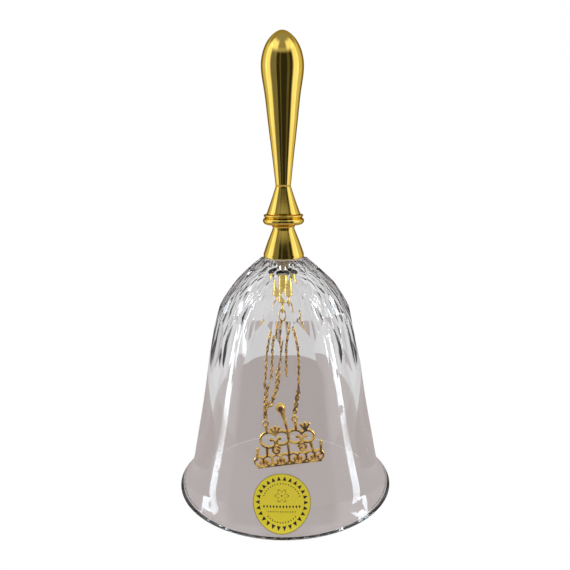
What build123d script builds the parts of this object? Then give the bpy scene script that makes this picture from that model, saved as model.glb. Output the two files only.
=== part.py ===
from build123d import *
import os
from math import atan, atan2, ceil, cos, degrees, hypot, radians, sin

# Free-standing hand bell: a faceted glass bell, a turned and plated handle on a threaded stud, and a
# clapper of scrollwork that hangs inside on three strands of fine chain.
# Millimetres, +Z up. The origin is the centre of the rim, on the surface that the bell stands on.

# ---- glass ------------------------------------------------------------------------------------------
RIM_RADIUS = 41.0
RIM_ROUND = 0.6
RIM_FLAT = (39.3, 40.4)
GLASS_TOP = 88.4
SEAT_RADIUS = 8.6
CROWN_INSIDE = 82.0
CROWN_FLAT_RADIUS = 4.4
STUD_HOLE_RADIUS = 2.2
RIM_BULGE = 0.18         # how far the middle of a rounded rim edge stands in from its corner
OUTER_CURVE = [(38.25, 3.6), (36.1, 8.4), (34.9, 14.0), (30.8, 36.0), (26.6, 61.5), (23.9, 71.0),
               (18.0, 80.0)]
INNER_CURVE = [(35.4, 4.4), (31.5, 14.0), (26.2, 36.0), (21.2, 58.0), (16.8, 70.0), (11.5, 77.5)]
FACET_FLOOR = 25.0
COLUMNS = 14
COLUMN_TURN = -3.05
HALF_COLUMN = 180 / COLUMNS
# Each tier of cuts: turned by, then the distance from the axis and the height of its face low and high up.
# Every tier stands half a column round from the one below it, so that the faces meet in a net.
FACET_TIERS = [
    (COLUMN_TURN + HALF_COLUMN, 30.9, 35.0, 25.6, 62.5),
    (COLUMN_TURN, 26.5, 62.5, 20.2, 78.6),
    (COLUMN_TURN + HALF_COLUMN, 24.0, 70.5, 14.3, 84.8),
    (COLUMN_TURN, 19.3, 78.6, 9.3, 87.6),
]
FACET_COLLAR = 70.0      # outer radius of the ring that each tier's cut leaves between its faces and the air
CONE_SHARE = 0.96        # how much of the way to its point a tier's tapered core reaches

# ---- handle -----------------------------------------------------------------------------------------
WASHER_THICKNESS = 0.4
FERRULE_FOOT = GLASS_TOP + WASHER_THICKNESS
NECK_HEIGHT = 99.6
BEAD_TOP = 104.4
COLLAR_TOP = 114.4
HANDLE_TOP = 167.0
NECK_RADIUS = 4.0
FERRULE_RADIUS = 7.4
BEAD_RADIUS = 7.5
SHAFT_RADIUS = 2.75
COLLAR_FOOT_RADIUS = 6.1
COLLAR_WAIST = (4.75, 108.4)
BEAD_FOOT_RADIUS = 5.0
BEAD_CREST_HEIGHT = 102.5
BEAD_TOP_RADIUS = 6.7
BEAD_RISE = 0.5
FERRULE_BAND = 1.5
FERRULE_WAIST = (6.05, 93.9)
EDGE_ROUND = 0.3
GRIP_CURVE = [(4.06, 126.5), (5.33, 137.4), (6.6, 148.1), (7.45, 156.0), (6.3, 161.2), (3.7, 165.1)]
STUD_RADIUS = 1.5
STUD_CLEARANCE = 0.1
STUD_TOP = 124.0
STUD_FOOT = 76.2
SEAT_WASHER_RADIUS = 7.0
CROWN_WASHER_RADIUS = 3.6
WASHER_CLEARANCE = 0.2

# ---- hanger -----------------------------------------------------------------------------------------
NUT_RADIUS = 3.0
NUT_TOP = CROWN_INSIDE - 0.75
NUT_FOOT = 72.4
NUT_CHAMFER = 0.5
SHANK_DEPTH = 2.3
CROWN_WASHER_PLAY = 0.05
EYE_RADIUS = 1.7
EYE_WIRE = 0.55
SWING_RING_RADIUS = 2.4
SWING_RING_WIRE = 0.45
RING_GAP = 0.08          # play between two wires that hang on each other
EYE_GAP = 0.1

# ---- chain ------------------------------------------------------------------------------------------
LINK_LENGTH = 2.8
LINK_WIDTH = 1.9
LINK_WIRE = 0.29
LINK_ROLL = 30.0
LINK_SLACK = 0.06
END_RING_RADIUS = 1.15
END_RING_WIRE = 0.2
LUG_RING_RADIUS = 1.1
TAIL_RING_RADIUS = 1.45
LUG_RING_WIRE = 0.25
STRAND_ANGLES = {"left": -38.0, "middle": -4.0, "right": 38.0}

# ---- clapper charm ----------------------------------------------------------------------------------
CHARM_CENTRE = (1.0, 0.0, 14.5)
CHARM_ROLL = 6.8
CHARM_THICKNESS = 1.7
STROKE = 1.3
CURL_SHARE = 0.45        # radius of a scroll's inner curl, of the scroll's own
CURL_TURN = 150.0
CURL_STROKE = 0.8 * STROKE
BEAD_SHARE = 0.62        # radius of the bead at a scroll's end, of the stroke's width
LUG_RADIUS = 1.0
LUG_WIRE = 0.35
LUGS = {"left": (-7.3, 10.4), "right": (4.1, 11.0)}
BUD_FOOT = (0.2, 11.3)
BUD_TIP = (-1.1, 18.4)
BUD_STEM = ((0.8, 5.4), BUD_FOOT)
BUD_FOOT_RADIUS = 0.75
BUD_WAIST = (1.0, 0.35)  # radius, and share of the bud's length
BUD_BELLY = (1.9, 0.68)
# Each scroll in the charm's own plane: centre across, centre up, radius, start angle, sweep.
BASE_COUNT = 8
BASE_PITCH = 3.35
BASE_HEIGHT = -5.0
BASE_SCROLLS = [(BASE_PITCH * (i - (BASE_COUNT - 1) / 2), BASE_HEIGHT, 1.8,
                 210.0 if i % 2 else -30.0, -285.0 if i % 2 else 285.0) for i in range(BASE_COUNT)]
CREST_SCROLLS = [
    (-7.0, 3.4, 3.2, 35.0, 265.0),
    (-1.8, 3.6, 2.8, 150.0, -270.0),
    (3.4, 3.6, 2.8, 30.0, 270.0),
    (8.2, 3.2, 2.5, 150.0, -285.0),
    (-4.4, -0.9, 1.5, 20.0, 275.0),
    (5.6, -0.9, 1.5, 160.0, -275.0),
]
CREST_BARS = [((-8.4, -3.2), (-8.0, 0.6)), ((0.2, -3.2), (0.2, 1.2)), ((9.6, -3.2), (9.0, 0.8))]
LUG_STEMS = [((-7.3, 6.4), (-7.3, 9.4)), ((4.1, 6.2), (4.1, 10.0))]
END_STROKES = [((-12.6, -4.0), (-11.6, 0.2)), ((12.6, -4.6), (13.0, 0.6))]
PALMETTES = [(-3.9, 5.3), (7.7, 5.6)]
PALMETTE_ANGLES = (60.0, 90.0, 120.0)
PALMETTE_LENGTH = 3.2
RAIL_HEIGHT = -7.3
RAIL_LENGTH = 24.6

# ---- foil label -------------------------------------------------------------------------------------
LABEL_RADIUS = 9.85
LABEL_HEIGHT = 10.8
LABEL_TURN = -1.9
LABEL_SLOPE = 0.335      # how far the wall leans out for each millimetre down, behind the label
LABEL_OUT = 36.0
LABEL_PUNCH_DEPTH = 16.0
STRIP_POINTS = 13
STRIP_SPAN = (0.004, 0.29)
LABEL_GAP = 0.02
LABEL_THICKNESS = 0.12

AXIS_X = Vector(1, 0, 0)
AXIS_Y = Vector(0, 1, 0)


def turned(outline):
    """A solid of revolution about Z from a closed outline drawn in the XZ plane."""
    return revolve(make_face(Plane.XZ * outline), Axis.Z)


def post(radius, low, high):
    return Pos(0, 0, low) * Cylinder(radius, high - low, align=(Align.CENTER, Align.CENTER, Align.MIN))


def straight(*points):
    return Polyline(*points)


# ---- glass ------------------------------------------------------------------------------------------
def outer_line():
    """The bell's outer curve, from just above the rim up to the seat of the handle."""
    return Spline((RIM_RADIUS, RIM_ROUND), *OUTER_CURVE, (SEAT_RADIUS, GLASS_TOP))


def facet_cutter(turn, low_radius, low_height, high_radius, high_height):
    """A thick collar round the bell whose inside is a tapered polygon, one side to each face."""
    slope = (low_radius - high_radius) / (high_height - low_height)
    foot_radius = low_radius + slope * (low_height - FACET_FLOOR)
    height = GLASS_TOP + 1 - FACET_FLOOR
    polygon = RegularPolygon(foot_radius, COLUMNS, major_radius=False, rotation=270 + HALF_COLUMN + turn)
    cone = extrude(Pos(0, 0, FACET_FLOOR) * polygon, min(height, CONE_SHARE * foot_radius / slope),
                   taper=degrees(atan(slope)))
    return post(FACET_COLLAR, FACET_FLOOR, GLASS_TOP + 1) - cone


def glass_bell():
    outside = outer_line()
    inner_edge = RIM_FLAT[0] - RIM_ROUND
    inside = Spline((inner_edge, RIM_ROUND), *INNER_CURVE, (CROWN_FLAT_RADIUS, CROWN_INSIDE))
    outer_bulge = (RIM_RADIUS - RIM_BULGE, RIM_BULGE)
    inner_bulge = (inner_edge + RIM_BULGE, RIM_BULGE)
    outer_round = ThreePointArc((RIM_FLAT[1], 0), outer_bulge, (RIM_RADIUS, RIM_ROUND))
    inner_round = ThreePointArc((RIM_FLAT[0], 0), inner_bulge, (inner_edge, RIM_ROUND))
    crown = straight((SEAT_RADIUS, GLASS_TOP), (STUD_HOLE_RADIUS, GLASS_TOP),
                     (STUD_HOLE_RADIUS, CROWN_INSIDE), (CROWN_FLAT_RADIUS, CROWN_INSIDE))
    outline = outside + inside + outer_round + inner_round + crown
    outline += Line((RIM_FLAT[0], 0), (RIM_FLAT[1], 0))
    bell = turned(outline)
    for tier in FACET_TIERS:
        bell -= facet_cutter(*tier)
    return bell


def foil_label():
    """A round foil label that follows the outside of the glass low on the front wall."""
    curve = outer_line()
    start, finish = STRIP_SPAN
    strip = []
    for gap in (LABEL_GAP, LABEL_GAP + LABEL_THICKNESS):
        line = []
        for i in range(STRIP_POINTS):
            at = start + (finish - start) * i / (STRIP_POINTS - 1)
            point, along = curve @ at, curve % at
            line.append((point.X + gap * along.Y, point.Y - gap * along.X))
        strip.append(line)
    near, far = strip
    outline = Spline(*near) + Line(near[-1], far[-1]) + Spline(*far) + Line(far[0], near[0])
    skin = turned(outline)
    lean = degrees(atan(LABEL_SLOPE))
    punch = Rot(0, 0, LABEL_TURN) * Pos(0, -LABEL_OUT, LABEL_HEIGHT) * Rot(90 - lean, 0, 0)
    return skin & (punch * Cylinder(LABEL_RADIUS, LABEL_PUNCH_DEPTH))


# ---- handle -----------------------------------------------------------------------------------------
def handle_grip():
    dome = Spline((SHAFT_RADIUS, COLLAR_TOP), *GRIP_CURVE, (0, HANDLE_TOP),
                  tangents=((0.11, 1), (-1, 0.12)))
    base = straight((0, HANDLE_TOP), (0, COLLAR_TOP), (SHAFT_RADIUS, COLLAR_TOP))
    return turned(dome + base) - post(STUD_RADIUS, COLLAR_TOP, STUD_TOP + 2)


def stud_bore(low, high):
    return post(STUD_RADIUS + STUD_CLEARANCE, low, high)


def handle_collar():
    neck = SHAFT_RADIUS + STUD_CLEARANCE
    flare = Spline((COLLAR_FOOT_RADIUS, BEAD_TOP), COLLAR_WAIST, (neck, COLLAR_TOP))
    rest = straight((neck, COLLAR_TOP), (0, COLLAR_TOP), (0, BEAD_TOP), (COLLAR_FOOT_RADIUS, BEAD_TOP))
    return turned(flare + rest) - stud_bore(BEAD_TOP, COLLAR_TOP)


def handle_bead():
    foot = (BEAD_FOOT_RADIUS, NECK_HEIGHT + BEAD_RISE)
    top = (BEAD_TOP_RADIUS, BEAD_TOP)
    nose = ThreePointArc(foot, (BEAD_RADIUS, BEAD_CREST_HEIGHT), top)
    rest = straight(top, (0, BEAD_TOP), (0, NECK_HEIGHT), (NECK_RADIUS, NECK_HEIGHT), foot)
    return turned(nose + rest) - stud_bore(NECK_HEIGHT, BEAD_TOP)


def handle_ferrule():
    shoulder = (FERRULE_RADIUS, FERRULE_FOOT + FERRULE_BAND)
    neck = (NECK_RADIUS, NECK_HEIGHT - BEAD_RISE)
    flank = Spline(shoulder, FERRULE_WAIST, neck)
    rest = straight(neck, (NECK_RADIUS, NECK_HEIGHT), (0, NECK_HEIGHT), (0, FERRULE_FOOT),
                    (FERRULE_RADIUS - EDGE_ROUND, FERRULE_FOOT), (FERRULE_RADIUS, FERRULE_FOOT + EDGE_ROUND),
                    shoulder)
    return turned(flank + rest) - stud_bore(FERRULE_FOOT, NECK_HEIGHT)


def handle_stud():
    """Threaded rod that clamps the handle and the glass together; the thread is left plain."""
    rod = post(STUD_RADIUS, STUD_FOOT, STUD_TOP)
    return chamfer(rod.edges().filter_by(GeomType.CIRCLE), EDGE_ROUND)


def washer(outer, low, thickness):
    return post(outer, low, low + thickness) - post(STUD_RADIUS + WASHER_CLEARANCE, low, low + thickness)


# ---- hanger -----------------------------------------------------------------------------------------
def hanger_nut():
    """Long round nut inside the crown: the stud enters its top, the eye's shank its foot."""
    body = post(NUT_RADIUS, NUT_FOOT, NUT_TOP)
    body = chamfer(body.edges().group_by(Axis.Z)[0], NUT_CHAMFER)
    body -= post(STUD_RADIUS, STUD_FOOT - EDGE_ROUND, NUT_TOP)
    return body - post(EYE_WIRE, NUT_FOOT, NUT_FOOT + SHANK_DEPTH + EYE_GAP)


def ring(radius, wire, normal, centre):
    return Plane(origin=centre, z_dir=normal) * Torus(radius, wire)


EYE_CENTRE = Vector(0, 0, NUT_FOOT - EYE_GAP - EYE_WIRE - EYE_RADIUS)
EYE_BOTTOM = EYE_CENTRE.Z - EYE_RADIUS
SWING_RING_CENTRE = Vector(0, 0, EYE_BOTTOM + EYE_WIRE + SWING_RING_WIRE + RING_GAP - SWING_RING_RADIUS)


def hanger_eye():
    shank = post(EYE_WIRE, EYE_CENTRE.Z + EYE_RADIUS, NUT_FOOT + SHANK_DEPTH)
    return ring(EYE_RADIUS, EYE_WIRE, AXIS_X, EYE_CENTRE) + shank


def swing_ring():
    return ring(SWING_RING_RADIUS, SWING_RING_WIRE, AXIS_Y, SWING_RING_CENTRE)


# ---- chain ------------------------------------------------------------------------------------------
def out_from_ring(side):
    """Unit vector from the swing ring's centre out to where a strand hangs on it."""
    angle = radians(STRAND_ANGLES[side])
    return Vector(sin(angle), 0, -cos(angle))


def end_ring_centre(side):
    gap = END_RING_RADIUS - END_RING_WIRE - SWING_RING_WIRE - RING_GAP
    return SWING_RING_CENTRE + out_from_ring(side) * (SWING_RING_RADIUS + gap)


def end_ring(side):
    along = out_from_ring(side).cross(AXIS_Y)
    return ring(END_RING_RADIUS, END_RING_WIRE, along, end_ring_centre(side))


def link():
    """One oval chain link, long way up, its hole along Y."""
    bend = LINK_WIDTH / 2 - LINK_WIRE
    half = LINK_LENGTH / 2 - LINK_WIDTH / 2
    rail = Line((bend, -half), (bend, half)) + CenterArc((0, half), bend, 0, 180)
    rail += Line((-bend, half), (-bend, -half)) + CenterArc((0, -half), bend, 180, 180)
    path = Wire((Plane.XZ * rail).edges())
    return sweep(Plane(origin=path @ 0, z_dir=path % 0) * Circle(LINK_WIRE), path)


LINK_INSIDE = LINK_LENGTH / 2 - 2 * LINK_WIRE
LINK_PITCH = LINK_LENGTH - 4 * LINK_WIRE - LINK_SLACK


def link_places(points, first_wire, last_wire):
    """Places for links along a hanging strand, each turned a quarter from the one before.

    The number of steps is even, so the last link holds its ring the way the first link does.
    """
    path = Spline(*points)
    start = LINK_INSIDE - first_wire - LINK_SLACK
    finish = path.length - (LINK_INSIDE - last_wire - LINK_SLACK)
    steps = 2 * ceil((finish - start) / LINK_PITCH / 2)
    places = []
    for i in range(steps + 1):
        at = (start + (finish - start) * i / steps) / path.length
        down = path % at
        across = AXIS_Y.cross(down).normalized()
        roll = LINK_ROLL + 90 * (i % 2)
        places.append(Plane(origin=path @ at, x_dir=across, z_dir=down) * Rot(0, 0, roll))
    return places


def to_global(across, up):
    """A point of the charm's own plane, in the bell's frame."""
    angle = radians(CHARM_ROLL)
    x = CHARM_CENTRE[0] + across * cos(angle) - up * sin(angle)
    z = CHARM_CENTRE[2] + across * sin(angle) + up * cos(angle)
    return Vector(x, 0, z)


def lug_ring_centre(side):
    lug = to_global(*LUGS[side])
    lift = LUG_RADIUS - LUG_WIRE - LUG_RING_WIRE - RING_GAP + LUG_RING_RADIUS
    return lug + Vector(0, 0, lift)


def lug_ring(side):
    return ring(LUG_RING_RADIUS, LUG_RING_WIRE, AXIS_X, lug_ring_centre(side))


def strand_start(side):
    return end_ring_centre(side) + out_from_ring(side) * END_RING_RADIUS


LEFT_ROUTE = [strand_start("left"), (-4.7, 0, 57.5), (-6.3, 0, 43.0), (-7.4, 0, 31.0),
              lug_ring_centre("left") + Vector(0, 0, LUG_RING_RADIUS)]
RIGHT_ROUTE = [strand_start("right"), (4.6, 0, 57.5), (5.6, 0, 43.0),
               lug_ring_centre("right") + Vector(0, 0, LUG_RING_RADIUS)]
LEFT_PLACES = link_places(LEFT_ROUTE, END_RING_WIRE, LUG_RING_WIRE)
RIGHT_PLACES = link_places(RIGHT_ROUTE, END_RING_WIRE, LUG_RING_WIRE)

# The middle strand ends on a small ring that holds one side of a link low on the left strand.
TAIL_PLACE = Plane(LEFT_PLACES[-3])
TAIL_REACH = (Vector(0, 0, 1) - TAIL_PLACE.x_dir).normalized()
TAIL_CENTRE = TAIL_PLACE.origin + TAIL_REACH * TAIL_RING_RADIUS
TAIL_NORMAL = TAIL_PLACE.y_dir.cross(TAIL_REACH)
MIDDLE_ROUTE = [strand_start("middle"), (-1.9, 0.2, 56.0), (-2.4, 0.6, 44.0),
                TAIL_CENTRE + TAIL_REACH * TAIL_RING_RADIUS]
MIDDLE_PLACES = link_places(MIDDLE_ROUTE, END_RING_WIRE, END_RING_WIRE)


def tail_ring():
    return ring(TAIL_RING_RADIUS, END_RING_WIRE, TAIL_NORMAL, TAIL_CENTRE)


def strand(places):
    one = link()
    return Compound([place * one for place in places])


# ---- clapper charm ----------------------------------------------------------------------------------
def scroll(across, up, radius, start, sweep_angle):
    """A C-shaped stroke that curls tighter at its end and finishes in a round bead."""
    end = radians(start + sweep_angle)
    curl = CURL_SHARE * radius
    curl_centre = (across + (radius - curl) * cos(end), up + (radius - curl) * sin(end))
    turn = CURL_TURN if sweep_angle > 0 else -CURL_TURN
    tip = end + radians(turn)
    bead = (curl_centre[0] + curl * cos(tip), curl_centre[1] + curl * sin(tip))
    shape = SlotArc(CenterArc((across, up), radius, start, sweep_angle), STROKE)
    shape += SlotArc(CenterArc(curl_centre, curl, start + sweep_angle, turn), CURL_STROKE)
    return shape + Pos(*bead) * Circle(BEAD_SHARE * STROKE)


def bar(foot, tip):
    """A straight stroke with round ends."""
    across, up = tip[0] - foot[0], tip[1] - foot[1]
    middle = (foot[0] + across / 2, foot[1] + up / 2)
    slot = SlotCenterToCenter(hypot(across, up), STROKE, rotation=degrees(atan2(up, across)))
    return Pos(*middle) * slot


def palmette(foot):
    """Three short strokes that fan upward from one point."""
    across, up = foot
    fan = [(across + PALMETTE_LENGTH * cos(radians(angle)), up + PALMETTE_LENGTH * sin(radians(angle)))
           for angle in PALMETTE_ANGLES]
    return [(foot, tip) for tip in fan]


def charm_scroll():
    shape = bar((-RAIL_LENGTH / 2, RAIL_HEIGHT), (RAIL_LENGTH / 2, RAIL_HEIGHT))
    for values in BASE_SCROLLS + CREST_SCROLLS:
        shape += scroll(*values)
    bars = CREST_BARS + LUG_STEMS + END_STROKES + [BUD_STEM]
    for foot in PALMETTES:
        bars += palmette(foot)
    for foot, tip in bars:
        shape += bar(foot, tip)
    plate = extrude(Plane.XZ * shape, CHARM_THICKNESS / 2, both=True)
    for side in LUGS:
        across, up = LUGS[side]
        plate += ring(LUG_RADIUS, LUG_WIRE, AXIS_Y, Vector(across, 0, up))
    return Pos(*CHARM_CENTRE) * Rot(0, -CHARM_ROLL, 0) * plate - charm_bud()


def charm_bud():
    """A closed bud on top of its stem."""
    foot, tip = to_global(*BUD_FOOT), to_global(*BUD_TIP)
    tall = (tip - foot).length
    foot_edge = (BUD_FOOT_RADIUS, BUD_FOOT_RADIUS)
    waist, belly = [(radius, share * tall) for radius, share in (BUD_WAIST, BUD_BELLY)]
    flank = Spline(foot_edge, waist, belly, (0, tall), tangents=((0.2, 1), (-1, 0.15)))
    rest = straight((0, tall), (0, 0), (BUD_FOOT_RADIUS, 0), foot_edge)
    return Plane(origin=foot, z_dir=tip - foot, x_dir=AXIS_Y) * turned(flank + rest)


# ---- everything -------------------------------------------------------------------------------------
NODES = {
    "glass_bell": glass_bell,
    "handle_grip": handle_grip,
    "handle_collar": handle_collar,
    "handle_bead": handle_bead,
    "handle_ferrule": handle_ferrule,
    "handle_stud": handle_stud,
    "seat_washer": lambda: washer(SEAT_WASHER_RADIUS, GLASS_TOP, WASHER_THICKNESS),
    "crown_washer": lambda: washer(CROWN_WASHER_RADIUS, NUT_TOP, CROWN_INSIDE - NUT_TOP - CROWN_WASHER_PLAY),
    "hanger_nut": hanger_nut,
    "hanger_eye": hanger_eye,
    "swing_ring": swing_ring,
    "end_ring_left": lambda: end_ring("left"),
    "end_ring_middle": lambda: end_ring("middle"),
    "end_ring_right": lambda: end_ring("right"),
    "chain_left": lambda: strand(LEFT_PLACES),
    "chain_middle": lambda: strand(MIDDLE_PLACES),
    "chain_right": lambda: strand(RIGHT_PLACES),
    "tail_ring": tail_ring,
    "lug_ring_left": lambda: lug_ring("left"),
    "lug_ring_right": lambda: lug_ring("right"),
    "charm_scroll": charm_scroll,
    "charm_bud": charm_bud,
    "foil_label": foil_label,
}

os.makedirs("parts", exist_ok=True)
for name, build in NODES.items():
    export_step(build(), f"parts/{name}.step")
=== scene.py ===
from math import atan2, cos, hypot, pi, radians, sin, tau

import bmesh
import bpy
import numpy as np
from mathutils import Matrix, Vector


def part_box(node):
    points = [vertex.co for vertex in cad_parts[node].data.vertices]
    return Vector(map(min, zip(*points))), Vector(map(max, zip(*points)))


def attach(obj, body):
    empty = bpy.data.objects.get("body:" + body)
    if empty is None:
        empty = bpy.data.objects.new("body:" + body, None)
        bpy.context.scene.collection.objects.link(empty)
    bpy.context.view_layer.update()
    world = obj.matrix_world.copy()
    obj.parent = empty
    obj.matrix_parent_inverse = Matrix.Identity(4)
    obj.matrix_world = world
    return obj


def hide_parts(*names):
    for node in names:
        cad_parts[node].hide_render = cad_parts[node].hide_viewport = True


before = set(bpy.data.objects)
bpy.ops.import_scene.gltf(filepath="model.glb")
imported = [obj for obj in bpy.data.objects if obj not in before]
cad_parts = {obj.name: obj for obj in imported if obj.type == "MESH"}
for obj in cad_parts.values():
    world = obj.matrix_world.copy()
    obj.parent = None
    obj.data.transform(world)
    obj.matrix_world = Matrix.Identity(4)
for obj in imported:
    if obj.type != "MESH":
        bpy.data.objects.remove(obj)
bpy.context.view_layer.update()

# A faceted glass hand bell with a turned, gold-plated handle and a scrollwork clapper on fine chain.
# Metres, +Z up. The bell stands on its rim at z = 0 and its label faces -Y.

MM = 0.001


# ---- where things are ----------------------------------------------------------------------------
def span(node):
    """The foot, the top and the largest radius of a node that is turned about the bell's axis."""
    low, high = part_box(node)
    return low.z, high.z, high.x


RIM, CROWN, RIM_RADIUS = span("glass_bell")


# ---- mesh tools ----------------------------------------------------------------------------------
ON_AXIS = 1e-7


def smooth_line(points, steps):
    """Points along a natural cubic curve through the given ones, evenly spaced between each pair."""
    knots = np.array(points, float)
    gaps = np.linalg.norm(np.diff(knots, axis=0), axis=1)
    count = len(knots)
    system = np.eye(count)
    right = np.zeros_like(knots)
    for i in range(1, count - 1):
        before, after = gaps[i - 1], gaps[i]
        system[i, i - 1:i + 2] = before, 2 * (before + after), after
        right[i] = 6 * ((knots[i + 1] - knots[i]) / after - (knots[i] - knots[i - 1]) / before)
    bend = np.linalg.solve(system, right)
    line = []
    for i in range(count - 1):
        gap = gaps[i]
        for t in np.linspace(0, gap, steps, endpoint=i == count - 2):
            u = gap - t
            line.append(bend[i] * u ** 3 / (6 * gap) + bend[i + 1] * t ** 3 / (6 * gap)
                        + (knots[i] / gap - bend[i] * gap / 6) * u
                        + (knots[i + 1] / gap - bend[i + 1] * gap / 6) * t)
    return [tuple(p) for p in line]


def arc(centre, radius, start, end, steps):
    """Points on a flat arc, angles in degrees."""
    angles = [radians(start + (end - start) * i / steps) for i in range(steps + 1)]
    return [(centre[0] + radius * cos(angle), centre[1] + radius * sin(angle)) for angle in angles]


def segment(foot, tip, steps):
    """Evenly spaced points on a straight line."""
    return [(foot[0] + (tip[0] - foot[0]) * i / steps, foot[1] + (tip[1] - foot[1]) * i / steps)
            for i in range(steps + 1)]


def join_rings(bm, low, high):
    """A band of faces between two closed rings that have as many points."""
    for k in range(len(low)):
        after = (k + 1) % len(low)
        bm.faces.new((low[k], low[after], high[after], high[k]))


def turned(bm, outline, segments, closed=True, start=0.0):
    """Turns an outline of (radius, height) about Z. Points on the axis become one shared vertex."""
    angles = [start + tau * k / segments for k in range(segments)]
    rings = []
    for radius, height in outline:
        if radius < ON_AXIS:
            rings.append([bm.verts.new((0, 0, height))])
            continue
        rings.append([bm.verts.new((radius * cos(angle), radius * sin(angle), height)) for angle in angles])
    pairs = list(zip(rings, rings[1:]))
    if closed:
        pairs.append((rings[-1], rings[0]))
    for low, high in pairs:
        for k in range(segments):
            after = k + 1
            places = [(low, k), (low, after), (high, after), (high, k)]
            corners = list(dict.fromkeys(ring[i % len(ring)] for ring, i in places))
            if len(corners) > 2:
                bm.faces.new(corners)


def piece(name, bm, finish):
    """A smooth-shaded object from a bmesh."""
    bmesh.ops.recalc_face_normals(bm, faces=bm.faces)
    mesh = bpy.data.meshes.new(name)
    for face in bm.faces:
        face.smooth = True
    bm.to_mesh(mesh)
    bm.free()
    obj = bpy.data.objects.new(name, mesh)
    bpy.context.scene.collection.objects.link(obj)
    mesh.materials.append(finish)
    return obj


# ---- shader tools --------------------------------------------------------------------------------
class Signal:
    """A shader socket that Python expressions work on. Each operator adds its Math node."""

    def __init__(self, sheet, socket):
        self.sheet = sheet
        self.socket = socket

    def math(self, operation, *values):
        return self.sheet.add("ShaderNodeMath", {"operation": operation}, dict(enumerate(values)))

    def __add__(self, other):
        return self.math("ADD", self, other)

    __radd__ = __add__

    def __sub__(self, other):
        return self.math("SUBTRACT", self, other)

    def __rsub__(self, other):
        return self.math("SUBTRACT", other, self)

    def __mul__(self, other):
        return self.math("MULTIPLY", self, other)

    __rmul__ = __mul__

    def __truediv__(self, other):
        return self.math("DIVIDE", self, other)

    def __rtruediv__(self, other):
        return self.math("DIVIDE", other, self)

    def __pow__(self, other):
        return self.math("POWER", self, other)

    def __mod__(self, other):
        return self.math("FLOORED_MODULO", self, other)

    def __abs__(self):
        return self.math("ABSOLUTE", self)

    def __gt__(self, other):
        return self.math("GREATER_THAN", self, other)

    def __lt__(self, other):
        return self.math("LESS_THAN", self, other)


class Sheet:
    """The node tree of one material or of the world."""

    def __init__(self, owner):
        owner.use_nodes = True
        self.owner = owner
        self.tree = owner.node_tree
        self.tree.nodes.clear()

    def add(self, kind, settings=None, inputs=None, output=0):
        """Any node: its settings are made first, then its sockets get values or links."""
        node = self.tree.nodes.new(kind)
        for key, value in (settings or {}).items():
            setattr(node, key, value)
        for key, value in (inputs or {}).items():
            if isinstance(value, Signal):
                self.tree.links.new(value.socket, node.inputs[key])
            else:
                node.inputs[key].default_value = value
        return Signal(self, node.outputs[output]) if node.outputs else node

    def place(self):
        """The piece's own coordinates, in metres in the bell's frame."""
        return self.add("ShaderNodeTexCoord", output="Object")

    def axes(self, vector):
        return [self.add("ShaderNodeSeparateXYZ", inputs={0: vector}, output=k) for k in range(3)]

    def scaled(self, vector, factors):
        return self.add("ShaderNodeVectorMath", {"operation": "MULTIPLY"}, {0: vector, 1: factors})

    def noise(self, vector, scale, detail=2.0):
        return self.add("ShaderNodeTexNoise", inputs={"Vector": vector, "Scale": scale, "Detail": detail})

    def ramp(self, value, low, high):
        """0 below low, 1 above high, smooth between."""
        return self.add("ShaderNodeMapRange", {"interpolation_type": "SMOOTHSTEP"},
                        {"Value": value, "From Min": low, "From Max": high})

    def mix(self, share, first, second):
        """A colour between two others."""
        return self.add("ShaderNodeMix", {"data_type": "RGBA"}, {0: share, 6: first, 7: second}, output=2)

    def bump(self, height, distance, strength=1.0):
        return self.add("ShaderNodeBump",
                        inputs={"Height": height, "Distance": distance, "Strength": strength})

    def surface(self, shader):
        self.add("ShaderNodeOutputMaterial", inputs={"Surface": shader})
        return self.owner


def rgb(red, green, blue):
    return (red, green, blue, 1.0)


def sheet_for(name):
    return Sheet(bpy.data.materials.new(name))


# ---- finishes ------------------------------------------------------------------------------------
def clear_crystal():
    """Polished glass with a faint film of handling marks and the slight waviness of drawn glass."""
    sheet = sheet_for("clear_crystal")
    place = sheet.place()
    film = sheet.ramp(sheet.noise(place, 90.0, 4.0), 0.56, 0.72)
    wave = sheet.noise(sheet.scaled(place, (1.0, 1.0, 0.45)), 70.0, 1.0)
    shader = sheet.add("ShaderNodeBsdfPrincipled", inputs={
        "Base Color": rgb(0.96, 0.955, 0.955),
        "Roughness": film * 0.03,
        "IOR": 1.54,
        "Transmission Weight": 1.0,
        "Normal": sheet.bump(wave, 0.00006, 0.5),
    })
    return sheet.surface(shader)


GOLD_LIGHT = rgb(0.90, 0.66, 0.15)
GOLD_EDGE = rgb(0.92, 0.60, 0.22)


def polished_gold():
    """Mirror-bright plate, with fine polishing lines round the axis and a few handling marks."""
    sheet = sheet_for("polished_gold")
    place = sheet.place()
    lines = sheet.noise(sheet.scaled(place, (60.0, 60.0, 2600.0)), 1.0, 3.0)
    cloud = sheet.noise(place, 160.0, 3.0)
    marks = sheet.ramp(sheet.noise(sheet.scaled(place, (1.0, 1.0, 0.4)), 700.0, 2.0), 0.62, 0.72)
    shader = sheet.add("ShaderNodeBsdfPrincipled", inputs={
        "Base Color": sheet.mix(sheet.ramp(cloud, 0.35, 0.75), GOLD_LIGHT, rgb(0.84, 0.60, 0.12)),
        "Metallic": 1.0,
        "Specular Tint": GOLD_EDGE,
        "Roughness": 0.055 + marks * 0.10 + cloud * 0.05,
        "Normal": sheet.bump(lines, 0.000004, 0.5),
    })
    return sheet.surface(shader)


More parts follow.
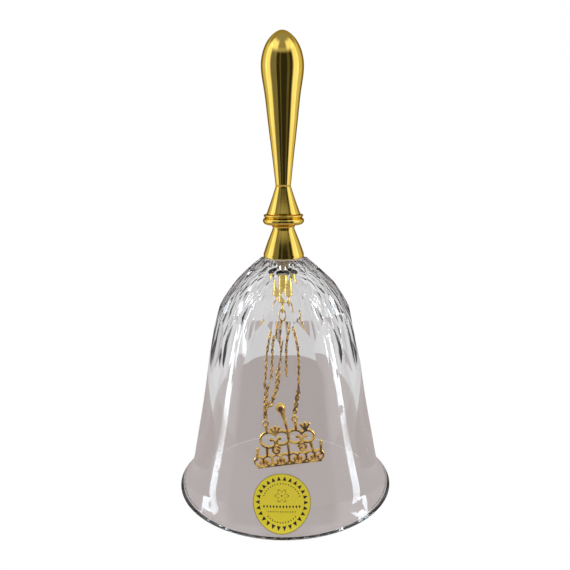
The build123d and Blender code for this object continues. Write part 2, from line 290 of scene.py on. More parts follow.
def cast_gold():
    """Bright plate over a cast surface, with dark colour in random patches on the flats of the strokes that
    face front and back: partly stain, partly painted shade for how those flats fall dark.
    """
    sheet = sheet_for("cast_gold")
    place = sheet.place()
    facing = abs(sheet.axes(sheet.add("ShaderNodeNewGeometry", output="Normal"))[1])
    patch = sheet.ramp(sheet.noise(place, 260.0, 2.0), 0.41, 0.55)
    # Painted shade: the flats that face front and back are darkened by their direction, only where the
    # random patches fall.
    stain_and_painted_shade = sheet.ramp(facing, 0.74, 0.94) * patch
    grain = sheet.noise(place, 1500.0, 3.0)
    shader = sheet.add("ShaderNodeBsdfPrincipled", inputs={
        # The dark brown here is painted shade on the front and back flats, mixed with stain.
        "Base Color": sheet.mix(stain_and_painted_shade, rgb(0.97, 0.66, 0.17), rgb(0.13, 0.06, 0.014)),
        "Metallic": 1.0,
        "Roughness": 0.14 + grain * 0.12 + stain_and_painted_shade * 0.25,
        "Normal": sheet.bump(grain, 0.00005, 0.6),
    })
    return sheet.surface(shader)


def wire_gold():
    """Bright drawn wire, stained dark in patches."""
    sheet = sheet_for("wire_gold")
    place = sheet.place()
    rubbed = sheet.ramp(sheet.noise(place, 620.0, 1.0), 0.46, 0.60)
    shader = sheet.add("ShaderNodeBsdfPrincipled", inputs={
        "Base Color": sheet.mix(rubbed, rgb(0.95, 0.66, 0.20), rgb(0.30, 0.15, 0.03)),
        "Metallic": 1.0,
        "Roughness": 0.12 + rubbed * 0.16,
    })
    return sheet.surface(shader)


THREADS_PER_METRE = 2000.0


def plated_rod():
    """Yellow plate on a threaded rod, whose thread is fine ridges across the axis."""
    sheet = sheet_for("plated_rod")
    place = sheet.place()
    up = sheet.axes(place)[2]
    thread = abs(up * THREADS_PER_METRE % 1.0 - 0.5)
    tarnish = sheet.noise(place, 500.0, 3.0)
    shader = sheet.add("ShaderNodeBsdfPrincipled", inputs={
        "Base Color": sheet.mix(tarnish, rgb(0.80, 0.66, 0.40), rgb(0.62, 0.47, 0.26)),
        "Metallic": 1.0,
        "Roughness": 0.28 + tarnish * 0.2,
        "Normal": sheet.bump(thread, 0.0001, 0.8),
    })
    return sheet.surface(shader)


def soft_vinyl():
    """Milky soft washer with a faint grain."""
    sheet = sheet_for("soft_vinyl")
    grain = sheet.noise(sheet.place(), 1800.0, 2.0)
    shader = sheet.add("ShaderNodeBsdfPrincipled", inputs={
        "Base Color": sheet.mix(grain, rgb(0.86, 0.80, 0.62), rgb(0.93, 0.88, 0.72)),
        "Roughness": 0.35 + grain * 0.2,
        "Normal": sheet.bump(grain, 0.00003, 0.4),
    })
    return sheet.surface(shader)


# ---- glass bell ----------------------------------------------------------------------------------
RIM_ROUND = 0.6
SEAT_RADIUS = 8.6
BORE_IN_GLASS = 2.2
CROWN_INSIDE = 82.0
CROWN_FLAT_RADIUS = 4.4
OUTER_CURVE = [(38.25, 3.6), (36.1, 8.4), (34.9, 14.0), (30.8, 36.0), (26.6, 61.5), (23.9, 71.0),
               (18.0, 80.0)]
INNER_CURVE = [(35.4, 4.4), (31.5, 14.0), (26.2, 36.0), (21.2, 58.0), (16.8, 70.0), (11.5, 77.5)]
INNER_RIM = 38.7

# The cutting: a net of 14 columns of hollows. The lowest row is long petals, and each row above it is
# set half a column round from the one below. Heights are those of the net's knots.
COLUMNS = 14
NET_TURN = -3.05
PETAL_TIP = 47.0
PETAL_FULL = 60.0
KNOT_HEIGHTS = [62.5, 70.5, 78.6, 84.8]
PETAL_HOLLOW = 0.2
DIAMOND_HOLLOW = 0.6
CELL_STEPS = 16
OUTSIDE_STEPS = 40
INSIDE_STEPS = 14
RIM_STEPS = 6
ROUND_ROWS = 40
ROW_CROWDING = 1.6      # rows of the round part lie closer together towards the rim
WELD = 2e-7
BAND_STEPS = {"petal_tip": 26, "petal": 12, "diamond": 14}
HALF = pi / COLUMNS


def in_metres(points):
    return [(radius * MM, height * MM) for radius, height in points]


def outer_radius():
    """Radius of the glass outside, over its ridges, as a function of height in millimetres."""
    line = smooth_line([(RIM_RADIUS / MM, RIM_ROUND), *OUTER_CURVE, (SEAT_RADIUS, CROWN / MM)],
                       OUTSIDE_STEPS)
    radii, heights = zip(*line)
    return lambda height: float(np.interp(height, heights, radii))


def row_curves(radius_at):
    """For each row of cuts, its distance from the axis at the middle of a cell, by height."""
    shrink = cos(HALF)
    top = CROWN / MM
    knots = [(height, radius_at(height)) for height in [*KNOT_HEIGHTS, top]]

    def petal(height):
        if height > KNOT_HEIGHTS[0]:
            share = (KNOT_HEIGHTS[1] - height) / (KNOT_HEIGHTS[1] - KNOT_HEIGHTS[0])
            return radius_at(height) * (1 - (1 - shrink) * share * (2 - share))
        share = min(1.0, max(0.0, (height - PETAL_TIP) / (PETAL_FULL - PETAL_TIP)))
        return radius_at(height) * (1 - (1 - shrink) * share * share * (3 - 2 * share))

    def through(points):
        heights = [height for height, _ in points]
        radii = [radius for _, radius in points]
        fit = np.polyfit(heights, radii, len(points) - 1)
        return lambda height: float(np.polyval(fit, height))

    curves = [petal]
    for k in range(len(knots) - 2):
        (low, low_radius), (middle, middle_radius), high = knots[k], knots[k + 1], knots[k + 2]
        curves.append(through([(low, low_radius), (middle, middle_radius * shrink), high]))
    curves.append(through([knots[-2], (top, knots[-1][1] * shrink)]))
    return curves


def cell_patch(bm, part, centre, heights, half_widths, radius_at, hollow):
    """One hollow, or one part of it: level rows of points, dished between its edges."""
    rows = []
    for height, half_width in zip(heights, half_widths):
        row = []
        for k in range(CELL_STEPS + 1):
            off = half_width * (2 * k / CELL_STEPS - 1)
            radius = radius_at(height, off) - hollow * (half_width ** 2 - off ** 2) / HALF ** 2
            turn = centre + off
            row.append(bm.verts.new((radius * MM * cos(turn), radius * MM * sin(turn), height * MM)))
        rows.append(row)
    for low, high in zip(rows, rows[1:]):
        for k in range(CELL_STEPS):
            face = bm.faces.new((low[k], low[k + 1], high[k + 1], high[k]))
            face[part] = part_number(centre, heights[0], half_widths)


def part_number(centre, foot, half_widths):
    """A different number for each hollow, so that the ridges between them stay crisp."""
    column = round(centre / HALF)
    growing = half_widths[-1] > half_widths[0]
    row = sum(foot + 0.1 > height for height in [PETAL_FULL, *KNOT_HEIGHTS])
    if row == 0 and not growing:
        return 1
    level = row + (1 if growing or row == 0 else 0)
    level = 1 if row == 1 else level
    return 100 + column + 1000 * level


def net_of_cuts(bm, part):
    radius_at = outer_radius()
    curves = row_curves(radius_at)
    first_column = radians(270 + NET_TURN)
    top = CROWN / MM

    def band(low_height, high_height, steps, below, above, shift, below_hollow, above_hollow):
        heights = [low_height + (high_height - low_height) * i / steps for i in range(steps + 1)]
        edges = [edge_between(below, above, height) for height in heights]
        edges[0], edges[-1] = HALF, 0.0
        for column in range(COLUMNS):
            middle = first_column + 2 * HALF * column + shift
            cell_patch(bm, part, middle, heights, edges,
                       lambda height, off: reach(below, height, off), below_hollow)
            cell_patch(bm, part, middle + HALF, heights, [HALF - edge for edge in edges],
                       lambda height, off: reach(above, height, off), above_hollow)

    def reach(curve, height, off):
        return radius_at(height) if curve is None else curve(height) / cos(off)

    def edge_between(below, above, height):
        if below is None:
            return HALF - float(np.arccos(min(1.0, above(height) / radius_at(height))))
        ratio = above(height) / below(height)
        return min(HALF, max(0.0, float(np.arctan((ratio - cos(HALF)) / sin(HALF)))))

    band(PETAL_TIP, PETAL_FULL, BAND_STEPS["petal_tip"], None, curves[0], 0.0, 0.0, PETAL_HOLLOW)
    heights = [PETAL_FULL + (KNOT_HEIGHTS[0] - PETAL_FULL) * i / BAND_STEPS["petal"]
               for i in range(BAND_STEPS["petal"] + 1)]
    for column in range(COLUMNS):
        cell_patch(bm, part, first_column + 2 * HALF * column + HALF, heights, [HALF] * len(heights),
                   lambda height, off: reach(curves[0], height, off), PETAL_HOLLOW)
    levels = [*KNOT_HEIGHTS, top]
    for k in range(len(KNOT_HEIGHTS)):
        shift = HALF * ((k + 1) % 2)
        below_hollow = DIAMOND_HOLLOW if k else PETAL_HOLLOW
        band(levels[k], levels[k + 1], BAND_STEPS["diamond"], curves[k], curves[k + 1], shift,
             below_hollow, DIAMOND_HOLLOW)


def round_outline():
    """The part of the glass that is turned round: bore, inside, rim, and outside up to the petals."""
    rim = RIM_RADIUS / MM
    lip = arc((INNER_RIM + RIM_ROUND, RIM_ROUND), RIM_ROUND, 180, 270, RIM_STEPS)
    lip += arc((rim - RIM_ROUND, RIM_ROUND), RIM_ROUND, 270, 360, RIM_STEPS)
    inside = smooth_line([(CROWN_FLAT_RADIUS, CROWN_INSIDE), *reversed(INNER_CURVE),
                          (INNER_RIM, RIM_ROUND)], INSIDE_STEPS)
    radius_at = outer_radius()
    heights = [RIM_ROUND + (PETAL_TIP - RIM_ROUND) * ((i + 1) / ROUND_ROWS) ** ROW_CROWDING
               for i in range(ROUND_ROWS)]
    outside = [(radius_at(height), height) for height in heights]
    bore = [(BORE_IN_GLASS, CROWN / MM), (BORE_IN_GLASS, CROWN_INSIDE)]
    return in_metres(bore + inside[:-1] + lip + outside)


def glass_bell(finish):
    bm = bmesh.new()
    part = bm.faces.layers.int.new("part")
    first = radians(270 + NET_TURN) - HALF
    segments = COLUMNS * CELL_STEPS
    turned(bm, round_outline(), segments, closed=False, start=first)
    net_of_cuts(bm, part)
    bmesh.ops.remove_doubles(bm, verts=bm.verts, dist=WELD)
    crown = [e for e in bm.edges if e.is_boundary]
    bmesh.ops.bridge_loops(bm, edges=crown)
    for edge in bm.edges:
        numbers = {face[part] for face in edge.link_faces}
        edge.smooth = len(numbers) < 2
    obj = piece("cut_glass_bell", bm, finish)
    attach(obj, "bell")
    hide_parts("glass_bell")
    return obj


# ---- handle --------------------------------------------------------------------------------------
HANDLE_SEGMENTS = 128
BORE_RADIUS = 1.6
GRIP_CURVE = [(4.06, 126.5), (5.33, 137.4), (6.6, 148.1), (7.45, 156.0), (6.3, 161.2), (3.7, 165.1)]
GRIP_STEPS = 16
SHAFT_RADIUS = 2.75
FOOT_BEVEL = 0.12
STUD_HOLE_DEPTH = 12.0
CREASE = radians(40)


def gilded(name, node, outline):
    """A turned and plated piece of the handle, in place of its plain node."""
    bm = bmesh.new()
    turned(bm, in_metres(outline), HANDLE_SEGMENTS)
    obj = piece(name, bm, GOLD)
    obj.modifiers.new("edges", "EDGE_SPLIT").split_angle = CREASE
    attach(obj, "bell")
    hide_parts(node)
    return obj


def bored(outline, low, high):
    """Closes an outline with the bore that the stud runs through."""
    return outline + [(BORE_RADIUS, high), (BORE_RADIUS, low)]


def handle_grip():
    foot, top, _ = (value / MM for value in span("handle_grip"))
    right = [(SHAFT_RADIUS, foot + FOOT_BEVEL), *GRIP_CURVE]
    over = [(-radius, height) for radius, height in reversed(GRIP_CURVE[-3:])]
    line = smooth_line([*right, (0.0, top), *over], GRIP_STEPS)
    flank = [p for p in line[:GRIP_STEPS * len(right)] if p[0] > 0] + [(0.0, top)]
    hole_end = foot + STUD_HOLE_DEPTH
    stud_hole = [(0.0, hole_end), (BORE_RADIUS, hole_end), (BORE_RADIUS, foot)]
    return gilded("turned_grip", "handle_grip", flank + stud_hole + [(SHAFT_RADIUS - FOOT_BEVEL, foot)])


def handle_collar():
    foot, top, radius = (value / MM for value in span("handle_collar"))
    neck = SHAFT_RADIUS + 0.1
    hem = arc((radius - 0.3, foot + 0.3), 0.3, -90, 10, 5)
    flank = smooth_line([hem[-1], (4.75, foot + 4.0), (neck, top - 0.25)], 12)
    crest = arc((neck - 0.15, top - 0.15), 0.15, 0, 90, 3)
    return gilded("flared_collar", "handle_collar", bored(hem[:-1] + flank + crest, foot, top))


def handle_bead():
    """A short neck under a thick roll and a thin one, with a fine groove between the two."""
    foot, top, radius = (value / MM for value in span("handle_bead"))
    roll = smooth_line([(4.0, foot + 0.02), (4.15, foot + 0.55), (5.6, foot + 1.05),
                        (radius - 0.4, foot + 1.6), (radius, foot + 2.45), (radius - 0.35, foot + 3.3),
                        (radius - 0.75, foot + 3.5)], 8)
    lip = arc((radius - 0.72, top - 0.45), 0.42, -70, 90, 8)
    return gilded("rolled_bead", "handle_bead", bored([(3.9, foot)] + roll + lip, foot, top))


def handle_ferrule():
    foot, top, radius = (value / MM for value in span("handle_ferrule"))
    hem = arc((radius - 0.25, foot + 0.25), 0.25, -90, 0, 5)
    band_top = [(radius, foot + 1.25), (radius - 0.08, foot + 1.45)]
    flank = smooth_line([band_top[-1], (6.05, foot + 5.1), (4.0, top - 0.5)], 14)
    outline = hem + band_top[:1] + flank + [(3.95, top)]
    return gilded("bell_ferrule", "handle_ferrule", bored(outline, foot, top))


# ---- clapper charm -------------------------------------------------------------------------------
CHARM_CENTRE = Vector((1.0, 0.0, 14.5))
CHARM_ROLL = 6.8
STROKE = 1.3
BASE_STROKE = 1.15
DEPTH = 0.84
LUG_RADIUS = 1.0
LUG_WIRE = 0.35
LUG_STEPS = 36
LUG_SIDES = 12
LUGS = [(-7.3, 10.4), (4.1, 11.0)]
BASE_COUNT = 8
BASE_PITCH = 3.35
BASE_HEIGHT = -5.0
# Each scroll: across, up, radius, the angle it starts at and how far it sweeps.
BASE_SCROLLS = [(BASE_PITCH * (i - (BASE_COUNT - 1) / 2), BASE_HEIGHT, 1.8,
                 210.0 if i % 2 else -30.0, -285.0 if i % 2 else 285.0) for i in range(BASE_COUNT)]
CREST_SCROLLS = [
    (-7.0, 3.4, 3.2, 35.0, 265.0),
    (-1.8, 3.6, 2.8, 150.0, -270.0),
    (3.4, 3.6, 2.8, 30.0, 270.0),
    (8.2, 3.2, 2.5, 150.0, -285.0),
    (-4.4, -0.9, 1.5, 20.0, 275.0),
    (5.6, -0.9, 1.5, 160.0, -275.0),
]
CREST_BARS = [((-8.4, -3.2), (-8.0, 0.6)), ((0.2, -3.2), (0.2, 1.2)), ((9.6, -3.2), (9.0, 0.8))]
LUG_STEMS = [((-7.3, 6.4), (-7.3, 9.4)), ((4.1, 6.2), (4.1, 10.0))]
END_STROKES = [((-12.6, -4.0), (-11.6, 0.2)), ((12.6, -4.6), (13.0, 0.6))]
BUD_STEM = ((0.8, 5.4), (0.2, 10.9))
PALMETTES = [(-3.9, 5.3), (7.7, 5.6)]
PALMETTE_ANGLES = (60.0, 90.0, 120.0)
PALMETTE_LENGTH = 3.2
RAIL_HEIGHT = -7.3
RAIL_LENGTH = 24.6
BAR_DEPTH = 0.9 * DEPTH
BAR_STEPS = 6
RAIL_STEPS = 24
SCROLL_STEPS = 30
CURL_SHARE = 0.45
CURL_TURN = 150
CURL_STEPS = 12
VOXEL = 0.11
SOFTEN_ROUNDS = 4


def stroke(bm, line, widths, depths, sides=14):
    """A closed rounded bar that follows a line in the charm's plane; width and depth change along it."""
    points = [Vector((x, 0, z)) for x, z in line]
    rings = []
    for i, point in enumerate(points):
        ahead = points[min(i + 1, len(points) - 1)] - points[max(i - 1, 0)]
        side = Vector((-ahead.z, 0, ahead.x)).normalized() * widths[i]
        ring = []
        for k in range(sides):
            angle = tau * k / sides
            ring.append(bm.verts.new(point + side * cos(angle) + Vector((0, depths[i] * sin(angle), 0))))
        rings.append(ring)
    for low, high in zip(rings, rings[1:]):
        join_rings(bm, low, high)
    bm.faces.new(rings[0][::-1])
    bm.faces.new(rings[-1])


def drop(bm, centre, radii):
    """A rounded bead in the charm's plane."""
    stretch = Matrix.Diagonal((radii[0], radii[1], radii[0], 1))
    place = Matrix.Translation((centre[0], 0, centre[1])) @ stretch
    bmesh.ops.create_icosphere(bm, subdivisions=3, radius=1.0, matrix=place)


def scroll(bm, across, up, radius, start, sweep, thick=STROKE):
    """A C-shaped stroke that thins along its way, curls tighter at its end and has a bead at each end."""
    end = start + sweep
    curl = CURL_SHARE * radius
    centre = (across + (radius - curl) * cos(radians(end)), up + (radius - curl) * sin(radians(end)))
    tip = end + (CURL_TURN if sweep > 0 else -CURL_TURN)
    line = arc((across, up), radius, start, end, SCROLL_STEPS) + arc(centre, curl, end, tip, CURL_STEPS)[1:]
    shares = [(i / (len(line) - 1)) ** 2 for i in range(len(line))]
    widths = [thick / 2 * (1 - 0.3 * share) for share in shares]
    depths = [DEPTH * (1 - 0.35 * share) for share in shares]
    stroke(bm, line, widths, depths)
    drop(bm, line[0], (thick * 0.5, DEPTH))
    drop(bm, line[-1], (thick * 0.62, DEPTH))


def straight_bar(bm, foot, tip, depth=BAR_DEPTH, steps=BAR_STEPS):
    """A straight stroke with round ends."""
    line = segment(foot, tip, steps)
    stroke(bm, line, [STROKE / 2] * len(line), [depth] * len(line))
    drop(bm, foot, (STROKE / 2, depth))
    drop(bm, tip, (STROKE / 2, depth))


def lug(bm, across, up):
    """A round loop that a small ring goes through."""
    rings = []
    for i in range(LUG_STEPS):
        turn = tau * i / LUG_STEPS
        out = Vector((cos(turn), 0, sin(turn)))
        middle = Vector((across, 0, up)) + out * LUG_RADIUS
        ring = []
        for k in range(LUG_SIDES):
            angle = tau * k / LUG_SIDES
            ring.append(bm.verts.new(middle + LUG_WIRE * (out * cos(angle) + Vector((0, sin(angle), 0)))))
        rings.append(ring)
    for low, high in zip(rings, rings[1:] + rings[:1]):
        join_rings(bm, low, high)


def fuse(obj, voxel, rounds):
    """Melts overlapping strokes into one cast body and softens it."""
    remesh = obj.modifiers.new("cast", "REMESH")
    remesh.mode = "VOXEL"
    remesh.voxel_size = voxel
    remesh.use_smooth_shade = True
    soften = obj.modifiers.new("soften", "SMOOTH")
    soften.factor = 0.5
    soften.iterations = rounds
    bpy.context.view_layer.update()
    melted = bpy.data.meshes.new_from_object(obj.evaluated_get(bpy.context.evaluated_depsgraph_get()))
    obj.modifiers.clear()
    finish = obj.data.materials[0]
    obj.data = melted
    melted.materials.clear()
    melted.materials.append(finish)
    for face in melted.polygons:
        face.use_smooth = True


def charm_scroll():
    bm = bmesh.new()
    half_rail = RAIL_LENGTH / 2
    straight_bar(bm, (-half_rail, RAIL_HEIGHT), (half_rail, RAIL_HEIGHT), DEPTH, RAIL_STEPS)
    for values in BASE_SCROLLS:
        scroll(bm, *values, BASE_STROKE)
    for values in CREST_SCROLLS:
        scroll(bm, *values)
    for foot, tip in CREST_BARS + LUG_STEMS + END_STROKES + [BUD_STEM]:
        straight_bar(bm, foot, tip)
    for across, up in PALMETTES:
        for angle in map(radians, PALMETTE_ANGLES):
            tip = (across + PALMETTE_LENGTH * cos(angle), up + PALMETTE_LENGTH * sin(angle))
            straight_bar(bm, (across, up), tip)
    for across, up in LUGS:
        lug(bm, across, up)
    hang = Matrix.Translation(CHARM_CENTRE * MM) @ Matrix.Rotation(radians(-CHARM_ROLL), 4, "Y")
    bmesh.ops.transform(bm, matrix=hang @ Matrix.Diagonal((MM, MM, MM, 1)), verts=bm.verts)
    obj = piece("cast_scrollwork", bm, CAST)
    fuse(obj, VOXEL * MM, SOFTEN_ROUNDS)
    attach(obj, "charm")
    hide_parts("charm_scroll")
    return obj


# ---- foil label ----------------------------------------------------------------------------------
LABEL_RADIUS = 9.85
LABEL_HEIGHT = 10.8
LABEL_TURN = -1.9
LABEL_SLOPE = 0.335
LABEL_GAP = 0.02
LABEL_THICKNESS = 0.12
LABEL_OUT = 36.0
LABEL_RINGS = 16
LABEL_SIDES = 144
HALVINGS = 40


def label_frame():
    """The label's centre in front of the wall, its two axes and the way out from the glass."""
    lean = atan2(LABEL_SLOPE, 1.0)
    turn = Matrix.Rotation(radians(LABEL_TURN), 3, "Z")
    across = turn @ Vector((1, 0, 0))
    out = turn @ Vector((0, -cos(lean), sin(lean)))
    up = out.cross(across)
    middle = turn @ Vector((0, -LABEL_OUT, 0)) + Vector((0, 0, LABEL_HEIGHT))
    return middle, across, up, out


def foil_label():
    middle, across, up, out = label_frame()
    radius_at = outer_radius()

    def on_wall(u, v, gap):
        """The point that far off the wall, straight behind a point of the label's plane."""
        start = middle + across * u + up * v
        low, high = -12.0, 12.0
        for _ in range(HALVINGS):
            t = (low + high) / 2
            point = start + out * t
            inside = hypot(point.x, point.y) < radius_at(point.z) + gap
            low, high = (t, high) if inside else (low, t)
        return start + out * high

    bm = bmesh.new()
    skins = []
    for gap in (LABEL_GAP + LABEL_THICKNESS, LABEL_GAP):
        centre = bm.verts.new(on_wall(0, 0, gap) * MM)
        skin = []
        for i in range(LABEL_RINGS):
            circle = arc((0, 0), LABEL_RADIUS * (i + 1) / LABEL_RINGS, 0, 360, LABEL_SIDES)[:-1]
            skin.append([bm.verts.new(on_wall(u, v, gap) * MM) for u, v in circle])
        for k in range(LABEL_SIDES):
            bm.faces.new((centre, skin[0][k], skin[0][(k + 1) % LABEL_SIDES]))
        for low, high in zip(skin, skin[1:]):
            join_rings(bm, low, high)
        skins.append(skin)
    join_rings(bm, skins[0][-1], skins[1][-1])
    obj = piece("foil_sticker", bm, label_print())
    obj.modifiers.new("edges", "EDGE_SPLIT").split_angle = radians(50)
    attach(obj, "bell")
    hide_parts("foil_label")
    return obj


def label_print():
    """Yellow foil printed in black: a border of points, rows of small lozenges and a plain flower."""
    sheet = sheet_for("label_foil")
    place = sheet.place()
    middle, across, up, _ = label_frame()
    offset = sheet.add("ShaderNodeVectorMath", {"operation": "SUBTRACT"}, {0: place, 1: middle * MM})

    def along(axis):
        dot = sheet.add("ShaderNodeVectorMath", {"operation": "DOT_PRODUCT"}, {0: offset, 1: axis},
                        output="Value")
        return dot / (LABEL_RADIUS * MM)

    def polar(u, v):
        radius = (u * u + v * v) ** 0.5
        turn = sheet.add("ShaderNodeMath", {"operation": "ARCTAN2"}, {0: u, 1: v}) / tau
        return radius, turn

    u, v = along(across), along(up)
    radius, turn = polar(u, v)

    def lozenges(run, rise, count, half_width, half_height):
        """A row of small diamonds: run goes along the row, rise across it."""
        step = abs(run * count % 1.0 - 0.5) / count
        return (step / half_width + abs(rise) / half_height) < 1.0

    border_from, border_high, border_count = 0.765, 0.145, 26
    step = abs(turn * border_count % 1.0 - 0.5) * 2
    points = (radius > border_from) * (step < 0.72 * (1 - (radius - border_from) / border_high))
    ring_row = lozenges(turn, (radius - 0.655) / 4.1, 44, 0.0055, 0.0085)
    ring_row = ring_row * ((v > 0.16) + (v < -0.42))
    bold_row = lozenges(u, v + 0.13, 9, 0.036, 0.055) * (abs(u) < 0.67)
    fine_row = lozenges(u, v + 0.30, 12, 0.020, 0.032) * (abs(u) < 0.50)
    petal_radius, petal_turn = polar(u, v - 0.24)
    wave = sheet.add("ShaderNodeMath", {"operation": "SINE"}, {0: petal_turn * (3.0 * tau)})
    petals = abs(petal_radius - 0.10 - 0.13 * abs(wave)) < 0.011
    heart = petal_radius < 0.028
    ink = points + ring_row + bold_row + fine_row + petals + heart
    ink = sheet.ramp(ink, 0.0, 0.9)
    grain = sheet.noise(place, 900.0, 2.0)
    edge = sheet.ramp(radius, 0.965, 0.995)
    foil = sheet.mix(grain, rgb(0.95, 0.80, 0.035), rgb(0.86, 0.72, 0.03))
    foil = sheet.mix(edge, foil, rgb(0.22, 0.19, 0.02))
    shader = sheet.add("ShaderNodeBsdfPrincipled", inputs={
        "Base Color": sheet.mix(ink, foil, rgb(0.018, 0.016, 0.012)),
        "Metallic": 0.0,
        "Roughness": 0.34 + ink * 0.2,
        "Coat Weight": 0.3,
        "Normal": sheet.bump(grain + ink * 0.3, 0.00001, 0.4),
    })
    return sheet.surface(shader)


# ---- carried-over nodes --------------------------------------------------------------------------
def dress(finishes):
    for node, finish in finishes.items():
        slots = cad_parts[node].data.materials
        slots.clear()
        slots.append(finish)


# ---- studio --------------------------------------------------------------------------------------
TABLE_TONE = rgb(0.43, 0.385, 0.375)
WHITE = rgb(1.0, 1.0, 1.0)
TABLE_REACH = 0.20
TABLE_GAP = 0.00002

# What stands round the room: from and to, in degrees from the front, with +X positive. Lists have a left
# and a right one. The dark back starts at the first angle on either side, and is full at the second.
PANES = [(-100.0, -90.0), (87.0, 98.0)]
PANE_GLOWS = [(-103.0, -70.0), (63.0, 96.0)]
LAMPS = [(-100.0, -30.0), (30.0, 100.0)]
PALE_STRIPES = [(-14.0, -9.0), (26.0, 40.0)]
DARK_FRONT = (-34.0, 58.0)
DIM_CORNER = (-66.0, -34.0)
DARK_BACK = (122.0, 140.0)

# How high it stands: the upward part of a direction, from -1 straight down to 1 straight up.
GLOW_HEIGHT = (-0.4, 0.75)
PANE_HEIGHT = (-0.1, 0.62)
LAMP_HEIGHT = (0.62, 0.9)
DARK_TOP = (0.5, 0.7)
CEILING_EDGE = (0.55, 0.75)

WALL_WHITE = rgb(0.99, 0.99, 1.0)
DARK_CREAM = rgb(1.0, 0.97, 0.84)
SKY_BLUE = rgb(0.82, 0.92, 1.0)


def band(sheet, value, low, high, soft):
    """1 between low and high, with soft edges."""
    return sheet.ramp(value, low - soft, low + soft) * (1 - sheet.ramp(value, high - soft, high + soft))


def both_sides(sheet, turn, pair, soft):
    """1 inside either of two bands round the room."""
    left, right = pair
    return band(sheet, turn, *left, soft) + band(sheet, turn, *right, soft)


def floor():
    """A plain white sheet to the eye, which glass and gold show as a soft grey table."""
    bm = bmesh.new()
    bmesh.ops.create_circle(bm, cap_ends=True, segments=96, radius=TABLE_REACH)
    sheet = sheet_for("white_table")
    seen = sheet.add("ShaderNodeLightPath", output="Is Camera Ray")
    grain = sheet.noise(sheet.place(), 9.0, 2.0)
    soft_grey = sheet.mix(grain, TABLE_TONE, rgb(0.47, 0.42, 0.41))
    shown = sheet.mix(seen, soft_grey, WHITE)
    shader = sheet.add("ShaderNodeEmission", inputs={"Color": shown, "Strength": 1.0})
    obj = piece("studio_floor", bm, sheet.surface(shader))
    obj.location.z = RIM - TABLE_GAP


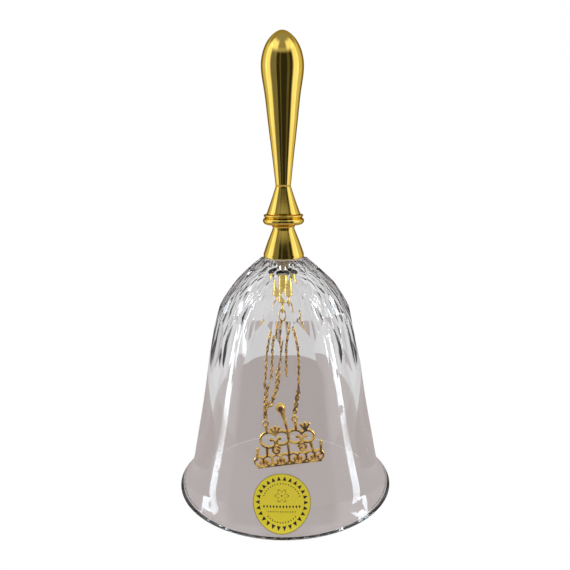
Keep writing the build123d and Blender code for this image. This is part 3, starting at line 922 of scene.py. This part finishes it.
def room():
    """White to the eye. Glass and gold show a pale room with tall windows, and a dark front and back."""
    world = bpy.data.worlds.new("pale_room")
    bpy.context.scene.world = world
    sheet = Sheet(world)
    x, y, z = sheet.axes(sheet.add("ShaderNodeTexCoord", output="Generated"))
    turn = sheet.add("ShaderNodeMath", {"operation": "ARCTAN2"}, {0: x, 1: 0 - y}) * (180 / pi)
    through = sheet.add("ShaderNodeLightPath", output="Is Transmission Ray")
    mirrored = (1 - through) * (1 - sheet.add("ShaderNodeLightPath", output="Is Diffuse Ray"))
    sharp = sheet.add("ShaderNodeLightPath", output="Is Singular Ray")
    panes = both_sides(sheet, turn, PANES, 1.0) * band(sheet, z, *PANE_HEIGHT, 0.03)
    bright = both_sides(sheet, turn, PANE_GLOWS, 3.0) * band(sheet, z, *GLOW_HEIGHT, 0.04)
    lamps = both_sides(sheet, turn, LAMPS, 9.0) * band(sheet, z, *LAMP_HEIGHT, 0.06)
    low_down = 1 - sheet.ramp(z, *DARK_TOP)
    dark_side = band(sheet, turn, *DARK_FRONT, 4.0) * low_down * (0.2 + 0.8 * mirrored)
    dim_side = band(sheet, turn, *DIM_CORNER, 3.0) * low_down * mirrored
    back_side = sheet.ramp(abs(turn), *DARK_BACK) * low_down * mirrored
    left, right = PALE_STRIPES
    stripes = band(sheet, turn, *left, 1.5) + 0.7 * band(sheet, turn, *right, 2.0)
    ceiling = mirrored * sheet.ramp(z, *CEILING_EDGE)
    wall = 0.72 + 0.15 * sheet.ramp(z, 0.2, 0.9)
    level = wall * (1 - dark_side) * (1 - 0.72 * dim_side) * (1 - 0.7 * back_side)
    level = level * (1 - 0.62 * ceiling)
    level = level + dark_side * (0.03 + 0.12 * stripes) + ceiling * lamps * 0.9
    level = level + 0.45 * bright + (0.3 + 9.0 * sharp) * panes
    warm = sheet.mix(dark_side, WALL_WHITE, DARK_CREAM)
    tint = sheet.mix(panes * sharp, warm, SKY_BLUE)
    seen = sheet.add("ShaderNodeLightPath", output="Is Camera Ray")
    shown = sheet.add("ShaderNodeBackground", inputs={"Color": tint, "Strength": level})
    plain = sheet.add("ShaderNodeBackground", inputs={"Color": WHITE, "Strength": 1.0})
    shader = sheet.add("ShaderNodeMixShader", inputs={0: seen, 1: shown, 2: plain})
    sheet.add("ShaderNodeOutputWorld", inputs={"Surface": shader})


def light_paths():
    """Many bounces through glass, but few inside its wall, where lost light draws the dark edges."""
    cycles = bpy.context.scene.cycles
    cycles.max_bounces = 32
    cycles.glossy_bounces = 5
    cycles.transmission_bounces = 28


CAMERA_DISTANCE = 0.213
CAMERA_HEIGHT = 0.1235
CAMERA_DIP = 12.03
CAMERA_ASIDE = 0.0004
CAMERA_ROLL = 0.38
LENS = 36.95


def camera():
    data = bpy.data.cameras.new("camera")
    data.lens = LENS
    data.sensor_width = 36.0
    data.clip_start = 0.01
    obj = bpy.data.objects.new("camera", data)
    bpy.context.scene.collection.objects.link(obj)
    obj.location = (CAMERA_ASIDE, -CAMERA_DISTANCE, CAMERA_HEIGHT)
    tilt = Matrix.Rotation(radians(90 - CAMERA_DIP), 4, "X")
    roll = Matrix.Rotation(radians(-CAMERA_ROLL), 4, "Z")
    obj.rotation_euler = (tilt @ roll).to_euler()
    bpy.context.scene.camera = obj


# ---- everything ----------------------------------------------------------------------------------
GOLD = polished_gold()
WIRE = wire_gold()
CAST = cast_gold()
VINYL = soft_vinyl()
CHAIN_NODES = ("swing_ring", "end_ring_left", "end_ring_middle", "end_ring_right", "chain_left",
               "chain_middle", "chain_right", "tail_ring", "lug_ring_left", "lug_ring_right")

glass_bell(clear_crystal())
handle_grip()
handle_collar()
handle_bead()
handle_ferrule()
charm_scroll()
foil_label()
dress(dict.fromkeys(CHAIN_NODES, WIRE))
dress({
    "hanger_nut": GOLD,
    "hanger_eye": GOLD,
    "charm_bud": CAST,
    "seat_washer": VINYL,
    "crown_washer": VINYL,
    "handle_stud": plated_rod(),
})

floor()
room()
camera()
light_paths()
bpy.context.scene.view_settings.view_transform = "Standard"
